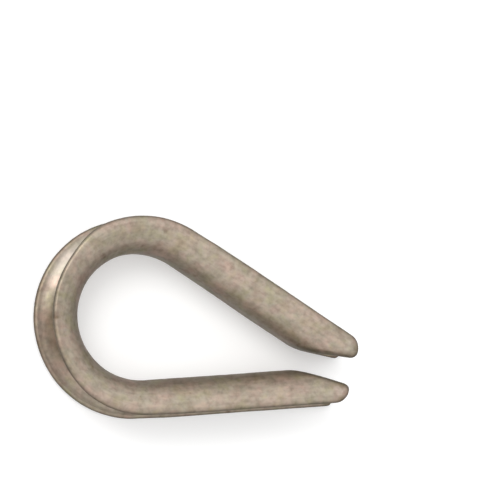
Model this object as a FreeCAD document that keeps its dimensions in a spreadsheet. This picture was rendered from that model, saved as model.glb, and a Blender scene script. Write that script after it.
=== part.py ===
import FreeCAD, Part
import Sketcher
import math
import os
from FreeCAD import Vector, Placement, Rotation

# Open-pattern wire-rope thimble: one strip of galvanised steel, rolled to a
# half-round channel and bent to a teardrop. The rope lies in the channel's
# groove, and a pin, hook or shackle bears on the inside of the eye.
#
# Frame, in millimetres: the origin is the centre of the crown's circle at
# mid-width. +X runs along the line of symmetry from the crown to the points,
# +Y across the eye, and +Z along the axis of the pin that the eye takes.
# In a section, "height" is measured from the inside of the eye outwards to the
# lips, and "width" along Z.

doc = FreeCAD.newDocument("thimble_eye")

# ---------------------------------------------------------------- dimensions
DIMS = [
    ("eye_radius", 11.9, "inside of the eye at the crown"),
    ("half_width", 6.35, "half the channel's outside width"),
    ("channel_height", 6.8, "inside of the eye to the lips"),
    ("sheet", 1.5, "thickness of the strip"),
    ("groove_radius", 4.85, "rope groove, for a 9.5 mm (3/8 in) wire rope"),
    ("land_half", 1.5, "half the width of the pin's bearing land inside the eye"),
    ("lip_outer", 0.25, "rounding of each lip on its outer corner"),
    ("leg_angle", 18.56, "angle of each leg to the line of symmetry, degrees"),
    ("leg_length", 38.9, "straight leg, from the crown to the end of the point"),
    ("mitre_start", 29.1, "along the leg, where the mitre leaves the eye side"),
    ("mitre_angle", 22.64, "angle of the mitre to the leg, degrees"),
    ("end_radius", 5.4, "bulge of the point's end"),
    ("end_drop", 4.4, "lips down to the furthest reach of the point's end"),
    ("corner_radius", 2.8, "point's corner at the lips"),
    ("nose_radius", 1.2, "point's corner at the mitre"),
]
sheet = doc.addObject("Spreadsheet::Sheet", "dims")
D = {}
for row, (alias, value, note) in enumerate(DIMS, start=1):
    sheet.set("A%d" % row, str(value))
    sheet.setAlias("A%d" % row, alias)
    sheet.set("B%d" % row, note)
    D[alias] = value
doc.recompute()

body = doc.addObject("PartDesign::Body", "Body")
body.Label = "thimble_channel"
body.Placement = Placement(Vector(0, 0, 0), Rotation())


def plane(role):
    return next(o for o in body.Origin.OriginFeatures if o.Role == role)


def new_sketch(name, role):
    sk = body.newObject("Sketcher::SketchObject", name)
    sk.AttachmentSupport = [(plane(role), "")]
    sk.MapMode = "FlatFace"
    return sk


def bind(sk, kind, args, name, value, expression):
    """Add a named driving constraint and tie it to the sheet."""
    i = sk.addConstraint(Sketcher.Constraint(kind, *args, value))
    sk.renameConstraint(i, name)
    sk.setExpression("Constraints." + name, expression)


def arc(cx, cy, r, start, end):
    """Counter-clockwise arc; angles in radians."""
    return Part.ArcOfCircle(Part.Circle(Vector(cx, cy, 0), Vector(0, 0, 1), r), start, end)


def chain(sk, links):
    """Join the ends of consecutive edges; a link is (edge, end, edge, end, tangent)."""
    for a, ea, b, eb, tangent in links:
        kind = "Tangent" if tangent else "Coincident"
        sk.addConstraint(Sketcher.Constraint(kind, a, ea, b, eb))


def channel_section(sk, side):
    """Half-round channel section on a plane through the crown's axis.

    side is -1 or +1: the section lies to that side of the axis, with its
    groove facing away from it.
    """
    R, W, H = D["eye_radius"], D["half_width"], D["channel_height"]
    t, g, w, q = D["sheet"], D["groove_radius"], D["land_half"], D["lip_outer"]
    uc = math.sqrt(W * W - w * w)          # centre of the outer arc, up from the land
    ug = t + g                             # centre of the groove
    qi = H - ug                            # inner rounding of the lips
    X = lambda u: side * (R + u)
    P = lambda u, v: Vector(X(u), v, 0)

    def ang(du, dv):
        a = math.atan2(dv, side * du)
        return a

    def A(cu, cv, r, p, q_):
        """Arc about (cu, cv) between two points given as offsets, the short way."""
        a0, a1 = ang(*p), ang(*q_)
        d = (a1 - a0) % (2 * math.pi)
        if d > math.pi:
            a0, a1 = a1, a0
        if a1 < a0:
            a1 += 2 * math.pi
        return arc(X(cu), cv, r, a0, a1)

    S = 1 if side < 0 else -1
    geo = [
        Part.LineSegment(P(0, -w), P(0, w)),                                   # 0 land
        A(uc, 0, W, (-uc, w), (0, W)),                                         # 1 outer arc, +
        Part.LineSegment(P(uc, W), P(H - q, W)),                               # 2 flank, +
        A(H - q, W - q, q, (0, q), (q, 0)),                                    # 3 lip outer, +
        Part.LineSegment(P(H, W - q), P(H, g + qi)),                           # 4 lip, +
        A(ug, g + qi, qi, (qi, 0), (0, -qi)),                                  # 5 lip inner, +
        arc(X(ug), 0, g, math.pi / 2, 3 * math.pi / 2) if side > 0
        else arc(X(ug), 0, g, -math.pi / 2, math.pi / 2),                      # 6 groove
        A(ug, -(g + qi), qi, (0, qi), (qi, 0)),                                # 7 lip inner, -
        Part.LineSegment(P(H, -(g + qi)), P(H, -(W - q))),                     # 8 lip, -
        A(H - q, -(W - q), q, (q, 0), (0, -q)),                                # 9 lip outer, -
        Part.LineSegment(P(H - q, -W), P(uc, -W)),                             # 10 flank, -
        A(uc, 0, W, (0, -W), (-uc, -w)),                                       # 11 outer arc, -
    ]
    sk.addGeometry(geo, False)

    def end_at(i, u, v):
        """Which end of edge i, 1 or 2, is at (u, v)."""
        g_ = sk.Geometry[i]
        p = P(u, v)
        return 1 if (g_.StartPoint - p).Length < (g_.EndPoint - p).Length else 2

    joints = [
        (0, 1, (0, w), False), (1, 2, (uc, W), True), (2, 3, (H - q, W), True),
        (3, 4, (H, W - q), True), (4, 5, (H, g + qi), True), (5, 6, (ug, g), True),
        (6, 7, (ug, -g), True), (7, 8, (H, -(g + qi)), True), (8, 9, (H, -(W - q)), True),
        (9, 10, (H - q, -W), True), (10, 11, (uc, -W), True), (11, 0, (0, -w), False),
    ]
    chain(sk, [(a, end_at(a, *p), b, end_at(b, *p), tan) for a, b, p, tan in joints])
    # the section is symmetric about its horizontal axis, and its flanks and lips are square to it
    sk.addConstraint(Sketcher.Constraint("Symmetric", 0, 1, 0, 2, -1))
    for i in (1, 11, 6):
        sk.addConstraint(Sketcher.Constraint("PointOnObject", i, 3, -1))
    sk.addConstraint(Sketcher.Constraint("Equal", 1, 11))
    sk.addConstraint(Sketcher.Constraint("Equal", 3, 9))
    sk.addConstraint(Sketcher.Constraint("Vertical", 6, end_at(6, ug, g), 6, 3))
    for i in (2, 10):
        sk.addConstraint(Sketcher.Constraint("Horizontal", i))
    for i in (4, 8):
        sk.addConstraint(Sketcher.Constraint("Vertical", i))
    sk.addConstraint(Sketcher.Constraint("Symmetric", 4, 2, 8, 1, -1))

    def signed(expression):
        return expression if side > 0 else "-(%s)" % expression

    bind(sk, "DistanceX", (-1, 1, 0, 1), "land_at", X(0), signed("dims.eye_radius"))
    bind(sk, "DistanceX", (-1, 1, 4, 1), "lips_at", X(H), signed("dims.eye_radius + dims.channel_height"))
    bind(sk, "DistanceX", (-1, 1, 6, 3), "groove_at", X(ug),
         signed("dims.eye_radius + dims.sheet + dims.groove_radius"))
    bind(sk, "Distance", (0,), "land_width", 2 * w, "2 * dims.land_half")
    bind(sk, "Radius", (1,), "outer_radius", W, "dims.half_width")
    bind(sk, "Radius", (6,), "groove_radius", g, "dims.groove_radius")
    bind(sk, "Radius", (3,), "lip_outer", q, "dims.lip_outer")


# ------------------------------------------------------- crown of the channel
crown_section = new_sketch("CrownSection", "XZ_Plane")
channel_section(crown_section, -1)
doc.recompute()

crown = body.newObject("PartDesign::Revolution", "Crown")
crown.Profile = crown_section
crown.ReferenceAxis = (crown_section, ["V_Axis"])
crown.Type = "Angle"
if "SideType" in crown.PropertiesList:
    crown.SideType = "Symmetric"
else:
    crown.Midplane = True
crown.Angle = 180 + 2 * D["leg_angle"]
crown.setExpression("Angle", "180 + 2 * dims.leg_angle")
doc.recompute()

# ------------------------------------------------------------- one straight leg
leg_section = new_sketch("LegSection", "XZ_Plane")
leg_section.AttachmentOffset = Placement(
    Vector(0, 0, 0), Rotation(Vector(0, 1, 0), 90 - D["leg_angle"])
)
leg_section.setExpression(".AttachmentOffset.Rotation.Angle", "(90 - dims.leg_angle) * 1 deg")
channel_section(leg_section, 1)
doc.recompute()

leg = body.newObject("PartDesign::Pad", "Leg")
leg.Profile = leg_section
leg.Length = D["leg_length"]
leg.setExpression("Length", "dims.leg_length")
doc.recompute()

# ---------------------------------------------- the point's mitre and rounded end
# Drawn in the leg's own plane: x along the leg from the crown, y from the inside
# of the eye out to the lips. The mitre takes the channel's bottom away, so the
# leg ends in two prongs, one on each flank.
point = new_sketch("PointOutline", "XY_Plane")
th = math.radians(D["leg_angle"])
point.AttachmentOffset = Placement(
    Vector(D["eye_radius"] * math.sin(th), D["eye_radius"] * math.cos(th), 0),
    Rotation(Vector(0, 0, 1), -D["leg_angle"]),
)
point.setExpression(".AttachmentOffset.Base.x", "dims.eye_radius * sin(dims.leg_angle * 1 deg)")
point.setExpression(".AttachmentOffset.Base.y", "dims.eye_radius * cos(dims.leg_angle * 1 deg)")
point.setExpression(".AttachmentOffset.Rotation.Angle", "-dims.leg_angle * 1 deg")

L, H = D["leg_length"], D["channel_height"]
ms, ma = D["mitre_start"], math.radians(D["mitre_angle"])
rE, dE, rC, rN = D["end_radius"], D["end_drop"], D["corner_radius"], D["nose_radius"]
E = Vector(L - rE, H - dE, 0)                                # centre of the end's bulge
cy = H - rC                                                  # corner arc: touches the lips and the bulge
cx = E.x + math.sqrt((rE - rC) ** 2 - (cy - E.y) ** 2)
C = Vector(cx, cy, 0)
T1 = E + (C - E).normalize() * rE                            # corner meets bulge
# nose arc: touches the mitre line and the bulge from inside both
md = Vector(math.cos(ma), math.sin(ma), 0)                   # along the mitre, outwards
mn = Vector(-math.sin(ma), math.cos(ma), 0)                  # into the metal that stays
M0 = Vector(ms, 0, 0)
base = M0 + mn * rN
b = (base - E).dot(md)
c = (base - E).dot(base - E) - (rE - rN) ** 2
N = base + md * (-b + math.sqrt(b * b - c))
T2 = N - mn * rN                                             # mitre meets nose
T3 = E + (N - E).normalize() * rE                            # nose meets bulge
under, beyond = 0.3, 1.0                                     # clearance of the cut past the metal
MB = M0 - md * (under / math.sin(ma))                        # mitre line carried below the leg


def pa(centre, p):
    return math.atan2(p.y - centre.y, p.x - centre.x)


point.addGeometry([
    Part.LineSegment(MB, T2),                                                    # 0 mitre
    arc(N.x, N.y, rN, pa(N, T2), pa(N, T3)),                                     # 1 nose
    arc(E.x, E.y, rE, pa(E, T3), pa(E, T1)),                                     # 2 end
    arc(C.x, C.y, rC, pa(C, T1), math.pi / 2),                                   # 3 corner
    Part.LineSegment(Vector(C.x, H, 0), Vector(C.x, H + beyond, 0)),             # 4
    Part.LineSegment(Vector(C.x, H + beyond, 0), Vector(L + beyond, H + beyond, 0)),  # 5
    Part.LineSegment(Vector(L + beyond, H + beyond, 0), Vector(L + beyond, -under, 0)),  # 6
    Part.LineSegment(Vector(L + beyond, -under, 0), MB),                         # 7
], False)
chain(point, [
    (0, 2, 1, 1, True), (1, 2, 2, 1, True), (2, 2, 3, 1, True),
    (3, 2, 4, 1, False), (4, 2, 5, 1, False), (5, 2, 6, 1, False),
    (6, 2, 7, 1, False), (7, 2, 0, 1, False),
])
point.addConstraint(Sketcher.Constraint("Vertical", 4))
point.addConstraint(Sketcher.Constraint("Horizontal", 5))
point.addConstraint(Sketcher.Constraint("Vertical", 6))
point.addConstraint(Sketcher.Constraint("Horizontal", 7))
point.addConstraint(Sketcher.Constraint("Vertical", 3, 2, 3, 3))
bind(point, "Angle", (-1, 1, 0, 1), "mitre_angle", ma, "dims.mitre_angle * 1 deg")
bind(point, "DistanceY", (-1, 1, 0, 1), "under", -under, "-0.3")
bind(point, "DistanceX", (-1, 1, 0, 1), "mitre_from", MB.x,
     "dims.mitre_start - 0.3 / tan(dims.mitre_angle * 1 deg)")
bind(point, "Radius", (1,), "nose_radius", rN, "dims.nose_radius")
bind(point, "Radius", (2,), "end_radius", rE, "dims.end_radius")
bind(point, "Radius", (3,), "corner_radius", rC, "dims.corner_radius")
bind(point, "DistanceX", (-1, 1, 2, 3), "end_centre_x", E.x, "dims.leg_length - dims.end_radius")
bind(point, "DistanceY", (-1, 1, 2, 3), "end_centre_y", E.y, "dims.channel_height - dims.end_drop")
bind(point, "DistanceY", (-1, 1, 3, 2), "lips_at", H, "dims.channel_height")
bind(point, "DistanceX", (-1, 1, 6, 1), "past_end", L + beyond, "dims.leg_length + 1")
bind(point, "DistanceY", (-1, 1, 6, 1), "past_lips", H + beyond, "dims.channel_height + 1")
doc.recompute()

before_cut = leg.Shape.Volume
cut = body.newObject("PartDesign::Pocket", "PointCut")
cut.Profile = point
cut.Type = "ThroughAll"
if "SideType" in cut.PropertiesList:
    cut.SideType = "Symmetric"
else:
    cut.Midplane = True
doc.recompute()
after_cut = cut.Shape.Volume

# ----------------------------------------------------------------- the other leg
mirror = body.newObject("PartDesign::Mirrored", "OtherLeg")
mirror.Originals = [leg, cut]
mirror.MirrorPlane = (plane("XZ_Plane"), [""])
body.Tip = mirror
doc.recompute()

# ------------------------------------------------------------------------ checks
crown_v = crown.Shape.Volume
if not after_cut < before_cut - 50:
    raise RuntimeError("the point's cut removed nothing: %.1f to %.1f mm3" % (before_cut, after_cut))
one_leg = after_cut - crown_v
total = body.Shape.Volume
if abs(total - (crown_v + 2 * one_leg)) > 1.0:
    raise RuntimeError("the two legs differ: %.1f, expected %.1f mm3" % (total, crown_v + 2 * one_leg))
for o in doc.Objects:
    if "Invalid" in o.State or "Error" in o.State:
        raise RuntimeError("%s failed: %s" % (o.Name, o.State))
for sk in (crown_section, leg_section, point):
    if sk.solve() != 0 or not sk.FullyConstrained:
        raise RuntimeError("%s isn't fully constrained" % sk.Name)
nodes = [body]
for o in nodes:
    s = o.Shape
    if s.isNull() or not s.isValid() or len(s.Solids) != 1:
        raise RuntimeError("%s is not one valid solid" % o.Label)

os.makedirs("parts", exist_ok=True)
for o in nodes:
    o.Shape.exportStep("parts/%s.step" % o.Label)
    bb = o.Shape.BoundBox
    print("%s: %.1f mm3, x %.3f to %.3f, y %.3f to %.3f, z %.3f to %.3f" % (
        o.Label, o.Shape.Volume, bb.XMin, bb.XMax, bb.YMin, bb.YMax, bb.ZMin, bb.ZMax))
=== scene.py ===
import math
import bpy
import numpy as np
from mathutils import Matrix, Vector


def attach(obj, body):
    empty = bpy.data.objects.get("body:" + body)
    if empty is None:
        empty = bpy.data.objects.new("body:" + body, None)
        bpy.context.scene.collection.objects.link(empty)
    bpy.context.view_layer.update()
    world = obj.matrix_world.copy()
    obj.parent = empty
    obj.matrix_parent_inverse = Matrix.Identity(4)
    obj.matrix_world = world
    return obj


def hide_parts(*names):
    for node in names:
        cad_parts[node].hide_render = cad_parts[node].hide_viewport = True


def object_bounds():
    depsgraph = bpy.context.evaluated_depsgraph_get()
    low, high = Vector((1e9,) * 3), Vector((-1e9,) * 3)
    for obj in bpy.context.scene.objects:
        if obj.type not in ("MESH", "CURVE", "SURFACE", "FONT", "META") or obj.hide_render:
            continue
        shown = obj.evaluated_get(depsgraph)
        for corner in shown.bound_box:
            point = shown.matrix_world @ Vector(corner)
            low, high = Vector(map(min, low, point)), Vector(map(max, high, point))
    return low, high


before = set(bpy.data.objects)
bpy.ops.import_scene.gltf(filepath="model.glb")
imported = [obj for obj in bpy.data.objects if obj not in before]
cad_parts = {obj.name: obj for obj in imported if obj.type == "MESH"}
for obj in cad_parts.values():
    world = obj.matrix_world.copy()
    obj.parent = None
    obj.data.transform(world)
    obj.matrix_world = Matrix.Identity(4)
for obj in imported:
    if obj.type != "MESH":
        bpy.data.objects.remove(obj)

scene = bpy.context.scene
KEY = 2.6                                 # watts
TENT = (-0.35, 0.55, 0.35, 0.20, 1.25)    # horizon from, to, light below, lean to the upper left, strength
CAD_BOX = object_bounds()
CAD_BOX = [[float(v) for v in c] for c in CAD_BOX]

# ------------------------------------------------------------------ the form
# Everything below is in millimetres until the mesh is made. The thimble is
# described by its distance field, in path coordinates: s along the leg from
# the crown, h from the inside of the eye out to the lips, z across.
R, W, H, T = 11.9, 6.35, 6.8, 1.5
GR = 4.85                                # groove radius
AL = math.radians(18.56)
D2 = np.array([math.cos(AL), -math.sin(AL)])
N2 = np.array([math.sin(AL), math.cos(AL)])


class Point:
    """Outline of one prong, in (s, h): mitre, nose, rounded end, corner at the lips."""

    def __init__(self, SM, MA, L, RE, DE, RC, RN):
        self.SM, self.MA, self.L, self.RE, self.RC, self.RN = SM, math.radians(MA), L, RE, RC, RN
        MA = self.MA
        self.EC = np.array([L - RE, H - DE])
        self.CC = np.array([self.EC[0] + math.sqrt((RE - RC) ** 2 - (H - RC - self.EC[1]) ** 2), H - RC])
        self.T1 = self.EC + (self.CC - self.EC) / np.linalg.norm(self.CC - self.EC) * RE
        md = np.array([math.cos(MA), math.sin(MA)])
        mn = np.array([-math.sin(MA), math.cos(MA)])
        m0 = np.array([SM, 0.0]) + mn * RN - self.EC
        b = m0 @ md
        self.NC = m0 + self.EC + md * (-b + math.sqrt(b * b - m0 @ m0 + (RE - RN) ** 2))
        self.T2 = self.NC - mn * RN
        self.T3 = self.EC + (self.NC - self.EC) / np.linalg.norm(self.NC - self.EC) * RE

    def dist(self, s, h):
        """Signed distance, positive outside."""
        h = h - RISE * np.clip(s / 5.0, 0, 1) * np.clip(h / H, 0, 1)
        EC, CC, NC = self.EC, self.CC, self.NC
        lips = h - H
        mitre = (s - self.SM) * math.sin(self.MA) - h * math.cos(self.MA)
        bulge = np.hypot(np.maximum(s - EC[0], 0), h - EC[1]) - self.RE
        cx, cy = s - CC[0], h - CC[1]
        q = np.maximum(np.maximum(lips, mitre), np.where(s > EC[0], bulge, -9.0))
        t1 = self.T1 - CC
        in_corner = (cx > 0) & (cy * t1[0] - cx * t1[1] > 0) & (cy > 0)
        q = np.where(in_corner, np.maximum(np.hypot(cx, cy) - self.RC, mitre), q)
        nx, ny = s - NC[0], h - NC[1]
        t2, t3 = self.T2 - NC, self.T3 - NC
        in_nose = (t2[0] * ny - t2[1] * nx > 0) & (t3[0] * ny - t3[1] * nx < 0)
        return np.where(in_nose, np.hypot(nx, ny) - self.RN, q)

    def reach(self, h):
        """How far along the leg the strip goes at height h."""
        m = self.SM + h / math.tan(self.MA)
        b = self.EC[0] + np.sqrt(np.maximum(self.RE ** 2 - (h - self.EC[1]) ** 2, 0))
        c = self.CC[0] + np.sqrt(np.maximum(self.RC ** 2 - np.maximum(h - self.CC[1], 0) ** 2, 0))
        return np.minimum(m, np.where(h > self.T1[1], c, b))


RISE = 0.2                                # the legs' flanks stand a little higher than the crown's
# the four prongs differ a little, as sawn and tumbled by hand: near is +z, far is -z
NEAR_UP = Point(30.0, 22.64, 38.9, 5.4, 4.4, 2.8, 1.2)
FAR_UP = Point(28.5, 22.4, 38.4, 5.4, 4.4, 2.8, 1.2)
NEAR_LOW = Point(29.65, 22.64, 38.95, 5.4, 4.4, 2.8, 1.2)
FAR_LOW = Point(29.2, 22.64, 38.4, 6.78, 3.2, 0.9, 1.0)


def outline(s, h, y, z):
    """Signed distance to the strip's side view: lips, point and mitre."""
    t = np.clip(z / 8.0 + 0.5, 0, 1)
    t = t * t * (3 - 2 * t)
    up = NEAR_UP.dist(s, h) * t + FAR_UP.dist(s, h) * (1 - t)
    low = NEAR_LOW.dist(s, h) * t + FAR_LOW.dist(s, h) * (1 - t)
    return np.where(y > 0, up, low)


def both(a, b, r):
    """Intersection of two distance fields with the edge between them rounded."""
    return np.minimum(np.maximum(a + r, b + r), 0) + np.hypot(np.maximum(a + r, 0), np.maximum(b + r, 0)) - r


def smax(a, b, k):
    """Maximum of two fields, blended where they differ by less than k."""
    t = np.maximum(k - np.abs(a - b), 0) / k
    return np.maximum(a, b) + t * t * k * 0.25


UC = math.sqrt(W * W - 1.5 * 1.5)


def path_coords(p):
    x, y, z = p[:, 0], np.abs(p[:, 1]), p[:, 2]
    s = x * D2[0] + y * D2[1]
    rho = np.hypot(x, y)
    h = np.where(s > 0, x * N2[0] + y * N2[1] - R, rho - R)
    ang = np.arctan2(y, x) - (math.pi / 2 - AL)
    along = np.where(s > 0, s, -ang * (R + 3.0))
    return s, h, z, along


def hash3(ix, iy, iz, seed):
    n = (ix * 374761393 + iy * 668265263 + iz * 2147483647 + seed * 1274126177) & 0xFFFFFFFF
    n = ((n ^ (n >> 13)) * 1274126177) & 0xFFFFFFFF
    n = ((n ^ (n >> 16)) * 668265263) & 0xFFFFFFFF
    return ((n ^ (n >> 15)) & 0xFFFFFF) / float(0xFFFFFF) * 2 - 1


def noise(p, size, seed):
    """Smooth value noise from -1 to 1, with features about size apart."""
    q = p / size + 100.0
    i = np.floor(q).astype(np.int64)
    f = q - i
    f = f * f * f * (f * (f * 6 - 15) + 10)
    out = 0
    for dx in (0, 1):
        wx = f[:, 0] if dx else 1 - f[:, 0]
        for dy in (0, 1):
            wy = f[:, 1] if dy else 1 - f[:, 1]
            for dz in (0, 1):
                wz = f[:, 2] if dz else 1 - f[:, 2]
                out = out + wx * wy * wz * hash3(i[:, 0] + dx, i[:, 1] + dy, i[:, 2] + dz, seed)
    return out


def fbm(p, size, seed, octaves=3, gain=0.5):
    a, t, v = 1.0, 0.0, 0
    for o in range(octaves):
        v = v + a * noise(p, size, seed + 17 * o)
        t += a
        a *= gain
        size *= 0.5
    return v / t


# small pits in the zinc and pimples on it come from value noise in relief(); this seeded generator is not used
rng = np.random.RandomState(7)


def relief(p):
    """How far the zinc stands out of the nominal form, in mm."""
    d = 0.07 * fbm(p, 11.0, 1, 2)                 # hand-fed bending: long, slight waves
    d += 0.035 * fbm(p, 4.2, 5, 2)                # the coating's lumps
    n = noise(p, 1.5, 31)
    d += 0.028 * np.clip(n - 0.35, 0, 1)          # pimples
    m = noise(p, 1.25, 57)
    d -= 0.055 * np.clip(m - 0.5, 0, 1)           # pits
    return d


EDGE = 0.68


def drop(p, z):
    """How low the near lip is round the crown, where the bend has drawn it most, in mm."""
    turn = np.degrees(np.arctan2(p[:, 1], p[:, 0])) % 360 - 180
    width = np.where(turn < 0, 38.0, 58.0)
    return 1.0 * np.exp(-(turn / width) ** 4) * np.clip(z / 3.0 + 0.3, 0, 1)


def field(p):
    s, h, z, along = path_coords(p)
    outer = np.where(h < UC, np.hypot(h - UC, z), np.abs(z)) - W
    inner = GR - np.where(h < T + GR, np.hypot(h - T - GR, z), np.abs(z))
    lean = 0.20 + 0.22 * np.clip(1 - s / 6.0, 0, 1)
    outer = outer + lean * np.clip((h - 4.4) / 2.4, 0, 1.1) ** 2   # the flanks close in a little towards the lips
    outer = smax(outer, -h, 0.12)                     # the narrow land the pin bears on
    sheet = np.maximum(outer, inner)
    q = np.where(s > 0, outline(s, h, p[:, 1], z), h - H + drop(p, z))
    f = both(sheet, q, EDGE)
    return f - (relief(p) - 0.01)


def gradient(p, e=0.02):
    g = np.empty_like(p)
    for k in range(3):
        d = np.zeros(3)
        d[k] = e
        g[:, k] = (field(p + d) - field(p - d)) / (2 * e)
    return g


def project(p, steps=4):
    for _ in range(steps):
        f = field(p)
        g = gradient(p)
        n2 = np.maximum((g * g).sum(1), 0.2)
        step = np.clip(-f / n2, -0.4, 0.4)
        p = p + g * step[:, None]
    return p


# ------------------------------------------------------------------ the grid
def spread(n, fine, total, ratio=1.35, coarse=0.42):
    """Distances from an edge: fine near it, growing to coarse."""
    d, step = [0.0], fine
    while d[-1] < total:
        d.append(d[-1] + step)
        step = min(step * ratio, coarse)
    d = np.array(d)
    return d * total / d[-1]


def build_grid():
    # across the strip, lip to lip, as the angle round the section and a bit of straight flank
    half = math.pi / 2 * 5.6 + (H - T - GR)
    v = spread(0, 0.10, half, coarse=0.36)
    v = half - v[::-1]
    v = np.r_[-v[::-1], v[1:]]                       # -half .. half
    # along the path: the crown at even steps, the leg finer towards its end
    crown_len = (math.pi / 2 + AL) * (R + 3.4)
    nc = int(crown_len / 0.42)
    u_c = np.linspace(-1, 0, nc + 1)                 # crown, apex to tangent point
    leg = 38.5 - spread(0, 0.12, 38.5, coarse=0.42)[::-1]
    m = np.linspace(0, 1, 9)
    rows = [("c", a) for a in u_c] + [("l", a / 38.5) for a in leg[1:]]
    return v, rows, m


V, ROWS, M = build_grid()


def section(v, m):
    """Height and z at distance v round the strip's middle, m from outer (0) to inner (1)."""
    a = np.clip(np.abs(v) / 5.6, 0, math.pi / 2)
    extra = np.maximum(np.abs(v) - 5.6 * math.pi / 2, 0)
    r = W - m * T
    h = (T + GR) - r * np.cos(a) + extra
    z = np.sign(v) * r * np.sin(a)
    return h, z


def sweep(row, side, v, m):
    """Point of the nominal strip at a row of the grid."""
    h, z = section(v, m)
    kind, a = row
    if kind == "c":
        phi = (math.pi / 2 - AL) + (-a) * (math.pi / 2 + AL)
        x, y = (R + h) * math.cos(phi), (R + h) * math.sin(phi)
        if np.ndim(x) == 0:
            x, y = np.full_like(z, x), np.full_like(z, y)
    else:
        ref = 38.5
        near, far = (NEAR_UP, FAR_UP) if side > 0 else (NEAR_LOW, FAR_LOW)
        t = np.clip(z / 8.0 + 0.5, 0, 1)
        s = a * ref - (ref - near.reach(h) * t - far.reach(h) * (1 - t)) * a ** 3
        x = s * D2[0] + (R + h) * N2[0]
        y = s * D2[1] + (R + h) * N2[1]
    return np.stack([x, side * y, z], 1)


def box_mesh():
    """The strip as the surface of a grid of rows by columns by thickness: six patches that share their edges."""
    all_rows = [(r, 1) for r in ROWS[::-1]] + [(r, -1) for r in ROWS[1:]]
    ni, nk, nm = len(all_rows), len(V), len(M)
    index = -np.ones((ni, nk, nm), int)
    pts, uvw = [], []
    count = 0
    for i, (row, side) in enumerate(all_rows):
        end = i in (0, ni - 1)
        for mi, m in enumerate(M):
            face = mi in (0, nm - 1)
            ks = np.arange(nk) if (end or face) else np.array([0, nk - 1])
            p = sweep(row, side, V[ks], m)
            index[i, ks, mi] = count + np.arange(len(ks))
            count += len(ks)
            pts.append(p)
    pts = np.concatenate(pts)
    faces = []

    def patch(a, flip):
        q = np.stack([a[:-1, :-1], a[1:, :-1], a[1:, 1:], a[:-1, 1:]], -1).reshape(-1, 4)
        faces.append(q[:, ::-1] if flip else q)

    patch(index[:, :, 0], False)
    patch(index[:, :, -1], True)
    patch(index[:, 0, :], True)
    patch(index[:, -1, :], False)
    patch(index[0, :, :], False)
    patch(index[-1, :, :], True)
    faces = np.concatenate(faces)
    return pts, faces, index


pts, faces, index = box_mesh()
pts = project(pts, 6)
# even the grid out along the surface, then settle it back on the form
edges = np.concatenate([faces[:, [0, 1]], faces[:, [1, 2]], faces[:, [2, 3]], faces[:, [3, 0]]])
edges = np.unique(np.sort(edges, 1), axis=0)
deg = np.bincount(edges.ravel(), minlength=len(pts)).astype(float)


def relax(pts, steps, part=None):
    for _ in range(steps):
        acc = np.zeros_like(pts)
        np.add.at(acc, edges[:, 0], pts[edges[:, 1]])
        np.add.at(acc, edges[:, 1], pts[edges[:, 0]])
        new = pts + 0.5 * (acc / deg[:, None] - pts)
        if part is None:
            pts = project(new, 3)
        else:
            pts = pts.copy()
            pts[part] = project(new[part], 3)
    return pts


pts = relax(pts, 6)
# the cut ends need more, where the cut crosses the narrow land
pts = relax(pts, 30, np.where((path_coords(pts)[0] > 31.0))[0])
print("field residual mm: max %.4f, mean %.5f" % (np.abs(field(pts)).max(), np.abs(field(pts)).mean()))
# path coordinates of the form, kept for the material: along the strip, height, depth from the cut edges
s_, h_, z_, along = path_coords(pts)
edge = np.where(s_ > 0, outline(s_, h_, pts[:, 1], z_), h_ - H + drop(pts, z_))
# painted light inside the groove: a painted highlight high on the crown's left, painted shade low on it and along
# the -Y leg
groove = np.clip((5.45 - np.hypot(np.minimum(h_ - T - GR, 0), z_)) / 0.4, 0, 1)
lips = np.clip(1 - edge / -0.9, 0, 1)
x_, y_ = pts[:, 0], pts[:, 1]
phi = np.degrees(np.arctan2(y_, x_)) % 360
far = np.clip(-z_ / 2.0, 0, 1)
deep = np.clip((H + 0.2 - h_) / 1.6, 0.35, 1.5) * 0.72
# painted highlight on the groove's far wall
groove_highlight = np.exp(-((phi - 152) / 24.0) ** 2) * (1 - 0.5 * np.clip((z_ + 4.6) / 1.5, 0, 1))
# painted shade deep in the groove beside the near lip, and on the -Y leg's far lip
groove_shade = np.exp(-((phi - 203) / 34.0) ** 2) * (0.75 + 0.7 * np.clip((z_ + 4.9) / 1.8, 0, 1))
groove_shade = np.where((s_ > 0) & (y_ < 0), 0.35, groove_shade)
inside = np.maximum(groove, lips * far)
# one mark: painted highlight where positive, painted shade where negative
painted_highlight_shade = (groove_highlight * np.maximum(far, 0.4) * np.clip((6.5 - h_) / 0.9, 0, 1) - groove_shade * deep) * inside
# painted shade: a darker near flank towards the crown's left, and a darker eye side of the -Y leg
near = np.clip((z_ - 1.0) / 2.0, 0, 1)
painted_highlight_shade -= 0.26 * near * (s_ < 0) * np.exp(-((phi - 186) / 32.0) ** 2) * np.clip((h_ - 2.5) / 2.0, 0, 1)
painted_highlight_shade -= 0.30 * near * (y_ < 0) * np.clip((s_ + 3) / 8.0, 0, 1) * np.clip((4.6 - h_) / 2.0, 0, 1)
# painted shade along the cut edges, weaker on the near lip round the crown's left
rim = np.clip(1 + edge / 1.0, 0, 1) * (1 - 0.45 * np.exp(-((phi - 160) / 45.0) ** 2) * (s_ < 0) * np.clip(z_ / 2.0, 0, 1))
# weaker still everywhere but the far lip at the crown's left
rim *= 0.62 + 0.38 * np.exp(-((phi - 185) / 60.0) ** 4) * far
# and broader painted shade round the points' ends
rim = np.maximum(rim, np.clip(1 + edge / 1.3, 0, 1) * np.clip((s_ - 33.5) / 3.0, 0, 1))
# the points' ends are a little brighter inside their rim
tip = np.clip((s_ - 35.4) / 0.8, 0, 1) * np.clip((-edge - 0.8) / 0.5, 0, 1)
lo, hi = np.array(CAD_BOX[0]) * 1000, np.array(CAD_BOX[1]) * 1000
pts = np.clip(pts, lo, hi)

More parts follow.
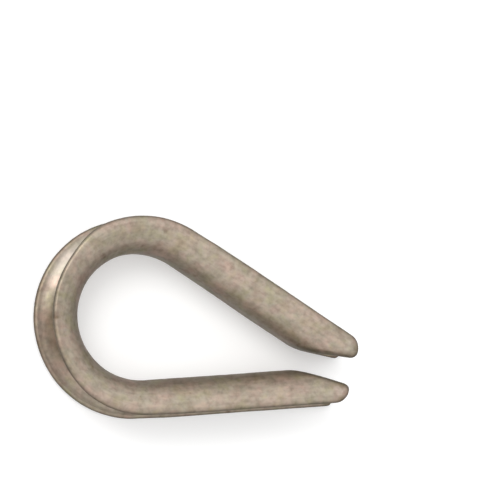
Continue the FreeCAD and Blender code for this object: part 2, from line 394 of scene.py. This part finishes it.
# outward normals
v0, v1, v2, v3 = (pts[faces[:, k]] for k in range(4))
vol = np.einsum("ij,ij->i", v0, np.cross(v1, v2)).sum() / 6 + np.einsum("ij,ij->i", v0, np.cross(v2, v3)).sum() / 6
if vol < 0:
    faces = faces[:, ::-1].copy()
print("mesh: %d vertices, %d quads, %.1f mm3" % (len(pts), len(faces), abs(vol)))

me = bpy.data.meshes.new("thimble")
me.from_pydata((pts / 1000).tolist(), [], faces.tolist())
me.update()
me.validate()
for poly in me.polygons:
    poly.use_smooth = True
thimble = bpy.data.objects.new("thimble", me)
scene.collection.objects.link(thimble)

# rim holds painted shade; the groove mark holds a painted highlight and painted shade
for name, data in (("along", along), ("height", h_), ("rim", rim), ("painted_highlight_shade", painted_highlight_shade), ("tip", tip)):
    att = me.attributes.new(name, "FLOAT", "POINT")
    att.data.foreach_set("value", data.astype(np.float32))

# ------------------------------------------------------------------ material
def node(nt, kind, at, **values):
    n = nt.nodes.new(kind)
    n.location = at
    for k, v in values.items():
        if k in n.inputs:
            n.inputs[k].default_value = v
        else:
            setattr(n, k, v)
    return n


def zinc_material():
    mat = bpy.data.materials.new("zinc")
    mat.use_nodes = True
    nt = mat.node_tree
    nt.nodes.clear()
    out = node(nt, "ShaderNodeOutputMaterial", (900, 0))
    bsdf = node(nt, "ShaderNodeBsdfPrincipled", (600, 0))
    nt.links.new(bsdf.outputs[0], out.inputs[0])
    bsdf.inputs["Metallic"].default_value = 0.85
    tc = node(nt, "ShaderNodeTexCoord", (-1400, 0))

    def nz(scale, detail, rough, at, dist=0.0, seed=0.0):
        mp = node(nt, "ShaderNodeMapping", (at[0] - 200, at[1]))
        mp.inputs["Location"].default_value = (seed, seed * 0.7, seed * 1.3)
        nt.links.new(tc.outputs["Object"], mp.inputs[0])
        n = node(nt, "ShaderNodeTexNoise", at)
        n.inputs["Scale"].default_value = scale
        n.inputs["Detail"].default_value = detail
        n.inputs["Roughness"].default_value = rough
        n.inputs["Distortion"].default_value = dist
        nt.links.new(mp.outputs[0], n.inputs["Vector"])
        return n

    def ramp(src, stops, at):
        r = node(nt, "ShaderNodeValToRGB", at)
        cr = r.color_ramp
        while len(cr.elements) > 1:
            cr.elements.remove(cr.elements[-1])
        cr.elements[0].position, cr.elements[0].color = stops[0][0], stops[0][1]
        for pos, col in stops[1:]:
            e = cr.elements.new(pos)
            e.color = col
        nt.links.new(src, r.inputs[0])
        return r

    def mix(kind, fac, a, b, at):
        m = node(nt, "ShaderNodeMix", at)
        m.data_type = "RGBA"
        m.blend_type = kind
        m.inputs[0].default_value = fac if isinstance(fac, float) else 1.0
        if not isinstance(fac, float):
            nt.links.new(fac, m.inputs[0])
        for sock, v in ((m.inputs[6], a), (m.inputs[7], b)):
            if isinstance(v, tuple):
                sock.default_value = v
            else:
                nt.links.new(v, sock)
        return m.outputs[2]

    def attr(name, at):
        n = node(nt, "ShaderNodeAttribute", at)
        n.attribute_name = name
        return n.outputs["Fac"]

    c = lambda r, g, b: (r, g, b, 1.0)
    along, height = attr("along", (-1600, 900)), attr("height", (-1600, 800))
    # broad patches: neutral grey, pinkish and yellow-green zinc
    big = nz(210.0, 3.0, 0.62, (-900, 500), 0.5, 0.3)
    base = ramp(big.outputs["Fac"], [
        (0.30, c(0.352, 0.312, 0.232)), (0.42, c(0.367, 0.322, 0.259)),
        (0.52, c(0.380, 0.317, 0.259)), (0.62, c(0.400, 0.317, 0.264)), (0.72, c(0.371, 0.320, 0.266))], (-650, 500))
    mid = nz(420.0, 3.0, 0.5, (-900, 200), 0.2, 1.7)
    midr = ramp(mid.outputs["Fac"], [(0.30, c(0.84, 0.83, 0.81)), (0.52, c(1, 1, 1)), (0.70, c(1.07, 1.06, 1.05))], (-650, 200))
    col = mix("MULTIPLY", 1.0, base.outputs[0], midr.outputs[0], (-350, 350))
    tint = nz(430.0, 2.0, 0.55, (-900, 350), 0.0, 7.7)
    tintr = ramp(tint.outputs["Fac"], [(0.32, c(0.97, 0.99, 0.88)), (0.50, c(1, 1, 1)), (0.68, c(1.04, 0.98, 0.97))], (-650, 350))
    col = mix("MULTIPLY", 1.0, col, tintr.outputs[0], (-250, 350))
    # faint streaks along the strip, left by the bending
    wv = node(nt, "ShaderNodeCombineXYZ", (-1400, 850))
    sc_a = node(nt, "ShaderNodeMath", (-1500, 950), operation="MULTIPLY")
    sc_a.inputs[1].default_value = 0.22
    nt.links.new(along, sc_a.inputs[0])
    nt.links.new(sc_a.outputs[0], wv.inputs[0])
    sc_h = node(nt, "ShaderNodeMath", (-1500, 850), operation="MULTIPLY")
    sc_h.inputs[1].default_value = 1.5
    nt.links.new(height, sc_h.inputs[0])
    nt.links.new(sc_h.outputs[0], wv.inputs[1])
    streak = node(nt, "ShaderNodeTexNoise", (-1200, 850))
    streak.inputs["Scale"].default_value = 1.0
    streak.inputs["Detail"].default_value = 2.0
    nt.links.new(wv.outputs[0], streak.inputs["Vector"])
    strr = ramp(streak.outputs["Fac"], [(0.30, c(0.88, 0.87, 0.86)), (0.50, c(1, 1, 1)), (0.70, c(1.10, 1.09, 1.07))], (-950, 850))
    col = mix("MULTIPLY", 0.8, col, strr.outputs[0], (-200, 450))
    # fine grain
    grain = nz(1150.0, 2.0, 0.5, (-900, 0), 0.0, 3.3)
    grr = ramp(grain.outputs["Fac"], [(0.32, c(0.80, 0.79, 0.77)), (0.52, c(1, 1, 1)), (0.70, c(1.10, 1.09, 1.07))], (-650, 0))
    col = mix("MULTIPLY", 0.8, col, grr.outputs[0], (-150, 350))
    # dark pits and specks: few, small and soft
    vor = node(nt, "ShaderNodeTexVoronoi", (-900, -100))
    vor.inputs["Scale"].default_value = 270.0
    vor.inputs["Randomness"].default_value = 1.0
    warp = nz(900.0, 1.0, 0.5, (-1300, -300), 0.0, 4.4)
    wmix = node(nt, "ShaderNodeVectorMath", (-1050, -200), operation="MULTIPLY_ADD")
    wmix.inputs[1].default_value = (0.0016, 0.0016, 0.0016)
    nt.links.new(warp.outputs["Color"], wmix.inputs[0])
    nt.links.new(tc.outputs["Object"], wmix.inputs[2])
    nt.links.new(wmix.outputs[0], vor.inputs["Vector"])
    spot = ramp(vor.outputs["Distance"], [(0.07, c(1, 1, 1)), (0.24, c(0, 0, 0))], (-650, -100))
    gate = ramp(vor.outputs["Color"], [(0.46, c(0, 0, 0)), (0.66, c(0.8, 0.8, 0.8))], (-650, -300))
    spkr = node(nt, "ShaderNodeMath", (-400, -150), operation="MULTIPLY")
    nt.links.new(spot.outputs[0], spkr.inputs[0])
    nt.links.new(gate.outputs[0], spkr.inputs[1])
    dark = mix("MULTIPLY", 1.0, col, c(0.50, 0.43, 0.36), (-350, 100))
    col = mix("MIX", spkr.outputs[0], col, dark, (-100, 200))
    # painted shade along the cut edges
    rimr = ramp(attr("rim", (-550, 700)), [(0.0, c(1, 1, 1)), (1.0, c(0.50, 0.47, 0.42))], (-350, 700))
    col = mix("MULTIPLY", 1.0, col, rimr.outputs[0], (100, 250))
    tipr = ramp(attr("tip", (-550, 900)), [(0.0, c(1, 1, 1)), (1.0, c(1.10, 1.13, 1.16))], (-350, 900))
    col = mix("MULTIPLY", 1.0, col, tipr.outputs[0], (180, 250))
    # painted highlight: the groove high on the crown's left lightened towards pale zinc
    highlight_ramp = ramp(attr("painted_highlight_shade", (-900, 1050)), [(0.0, c(0, 0, 0)), (1.0, c(0.42, 0.42, 0.42))], (-650, 1050))
    col = mix("MIX", highlight_ramp.outputs[0], col, c(0.56, 0.53, 0.48), (250, 250))
    # painted shade: the deep groove, the -Y leg and the near flank at the crown's left darkened
    shade_amount = node(nt, "ShaderNodeMath", (-900, 1250), operation="MULTIPLY")
    shade_amount.inputs[1].default_value = -1.0
    nt.links.new(attr("painted_highlight_shade", (-1100, 1250)), shade_amount.inputs[0])
    shade_ramp = ramp(shade_amount.outputs[0], [(0.0, c(1, 1, 1)), (1.0, c(0.42, 0.39, 0.34))], (-650, 1250))
    col = mix("MULTIPLY", 1.0, col, shade_ramp.outputs[0], (350, 250))
    nt.links.new(col, bsdf.inputs["Base Color"])
    rr = ramp(mid.outputs["Fac"], [(0.3, c(0.50, 0.50, 0.50)), (0.7, c(0.40, 0.40, 0.40))], (-350, -200))
    nt.links.new(rr.outputs[0], bsdf.inputs["Roughness"])
    # fine relief of the coating
    fine = nz(1300.0, 3.0, 0.5, (-900, -500), 0.0, 2.2)
    b1 = node(nt, "ShaderNodeBump", (300, -400))
    b1.inputs["Strength"].default_value = 0.30
    b1.inputs["Distance"].default_value = 0.00008
    nt.links.new(fine.outputs["Fac"], b1.inputs["Height"])
    b2 = node(nt, "ShaderNodeBump", (450, -300))
    b2.inputs["Strength"].default_value = 0.25
    b2.inputs["Distance"].default_value = 0.0002
    nt.links.new(mid.outputs["Fac"], b2.inputs["Height"])
    nt.links.new(b1.outputs[0], b2.inputs["Normal"])
    nt.links.new(b2.outputs[0], bsdf.inputs["Normal"])
    return mat


me.materials.append(zinc_material())
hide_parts("thimble_channel")
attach(thimble, "root")

# -------------------------------------------------------------------- stage
fm = bpy.data.meshes.new("floor")
F, z0 = 3.0, CAD_BOX[0][2] - 0.00002
fm.from_pydata([(-F, -F, z0), (F, -F, z0), (F, F, z0), (-F, F, z0)], [], [(0, 1, 2, 3)])
floor = bpy.data.objects.new("floor", fm)
scene.collection.objects.link(floor)
fmat = bpy.data.materials.new("floor_paper")
fmat.use_nodes = True
fb = fmat.node_tree.nodes["Principled BSDF"]
fb.inputs["Base Color"].default_value = (0.80, 0.80, 0.80, 1)
fb.inputs["Emission Color"].default_value = (1.0, 1.0, 1.0, 1)
fb.inputs["Emission Strength"].default_value = 0.22
fb.inputs["Roughness"].default_value = 0.9
fb.inputs["Specular IOR Level"].default_value = 0.1
fm.materials.append(fmat)

# ------------------------------------------------------------------- camera
rx, ry, rz = -0.1504286, 0.2413834, -0.2667593
f_px, px_per_R = 8000.0, math.exp(4.152074)
tx, ty = -112.677, 67.354
Rx = Matrix.Rotation(rx, 3, "X"); Ry = Matrix.Rotation(ry, 3, "Y"); Rz = Matrix.Rotation(rz, 3, "Z")
Q = Rz @ Ry @ Rx                                     # object to camera axes
unit = R / 1000.0                                    # metres per R
dist = f_px / px_per_R * unit
# image x = 250 + tx + f X/(d - Z), so the camera looks at a point offset from the crown's centre
cam_x = -tx / px_per_R * unit
cam_y = ty / px_per_R * unit
back = Q.transposed()                                # camera axes in object space, as columns
loc = back @ Vector((cam_x, cam_y, dist))
cam = bpy.data.cameras.new("camera")
cam.sensor_width = 36.0
cam.lens = f_px / 500.0 * 36.0
cam.clip_start, cam.clip_end = 0.05, 50.0
camera = bpy.data.objects.new("camera", cam)
camera.matrix_world = Matrix.Translation(loc) @ back.to_4x4()
scene.collection.objects.link(camera)
scene.camera = camera
view_dir = back @ Vector((0, 0, 1))

# ------------------------------------------------------------------- lights
def area(name, at, size, energy, colour=(1, 1, 1), target=(0.008, 0, 0)):
    l = bpy.data.lights.new(name, "AREA")
    l.shape = "DISK"
    l.size = size
    l.energy = energy
    l.color = colour
    o = bpy.data.objects.new(name, l)
    o.location = at
    d = Vector(target) - Vector(at)
    o.rotation_euler = d.to_track_quat("-Z", "Y").to_euler()
    scene.collection.objects.link(o)
    return o


cx_, cy_, cz_ = (back @ Vector((1, 0, 0))), (back @ Vector((0, 1, 0))), view_dir
key = Vector((-0.52, 0.28, 0.80)).normalized()
area("key", key, 0.5, KEY, (1.0, 0.99, 0.97))

# a white tent: bright above, a little brighter at the upper left, dark below the table
world = bpy.data.worlds.new("studio")
scene.world = world
world.use_nodes = True
wt = world.node_tree
bg = wt.nodes["Background"]
wc = node(wt, "ShaderNodeTexCoord", (-1200, 0))
sep = node(wt, "ShaderNodeSeparateXYZ", (-1000, 100))
wt.links.new(wc.outputs["Generated"], sep.inputs[0])
up = node(wt, "ShaderNodeMapRange", (-800, 100))
up.interpolation_type = "SMOOTHSTEP"
for k, v in zip(("From Min", "From Max", "To Min", "To Max"), (TENT[0], TENT[1], TENT[2], 1.0)):
    up.inputs[k].default_value = v
wt.links.new(sep.outputs[2], up.inputs["Value"])
dot = node(wt, "ShaderNodeVectorMath", (-1000, -150))
dot.operation = "DOT_PRODUCT"
dot.inputs[1].default_value = (-0.99, 0.10, 0.0)
wt.links.new(wc.outputs["Generated"], dot.inputs[0])
side = node(wt, "ShaderNodeMapRange", (-800, -150))
for k, v in zip(("From Min", "From Max", "To Min", "To Max"), (-1.0, 1.0, 1.0 - TENT[3], 1.0 + TENT[3])):
    side.inputs[k].default_value = v
wt.links.new(dot.outputs["Value"], side.inputs["Value"])
mul = node(wt, "ShaderNodeMath", (-600, 0))
mul.operation = "MULTIPLY"
wt.links.new(up.outputs[0], mul.inputs[0])
wt.links.new(side.outputs[0], mul.inputs[1])
mul2 = node(wt, "ShaderNodeMath", (-400, 0))
mul2.operation = "MULTIPLY"
mul2.inputs[1].default_value = TENT[4]
wt.links.new(mul.outputs[0], mul2.inputs[0])
wt.links.new(mul2.outputs[0], bg.inputs[1])
bg.inputs[0].default_value = (1.0, 1.0, 1.0, 1)
floor.visible_diffuse = False
floor.visible_glossy = False
scene.view_settings.view_transform = "Standard"
scene.view_settings.look = "None"
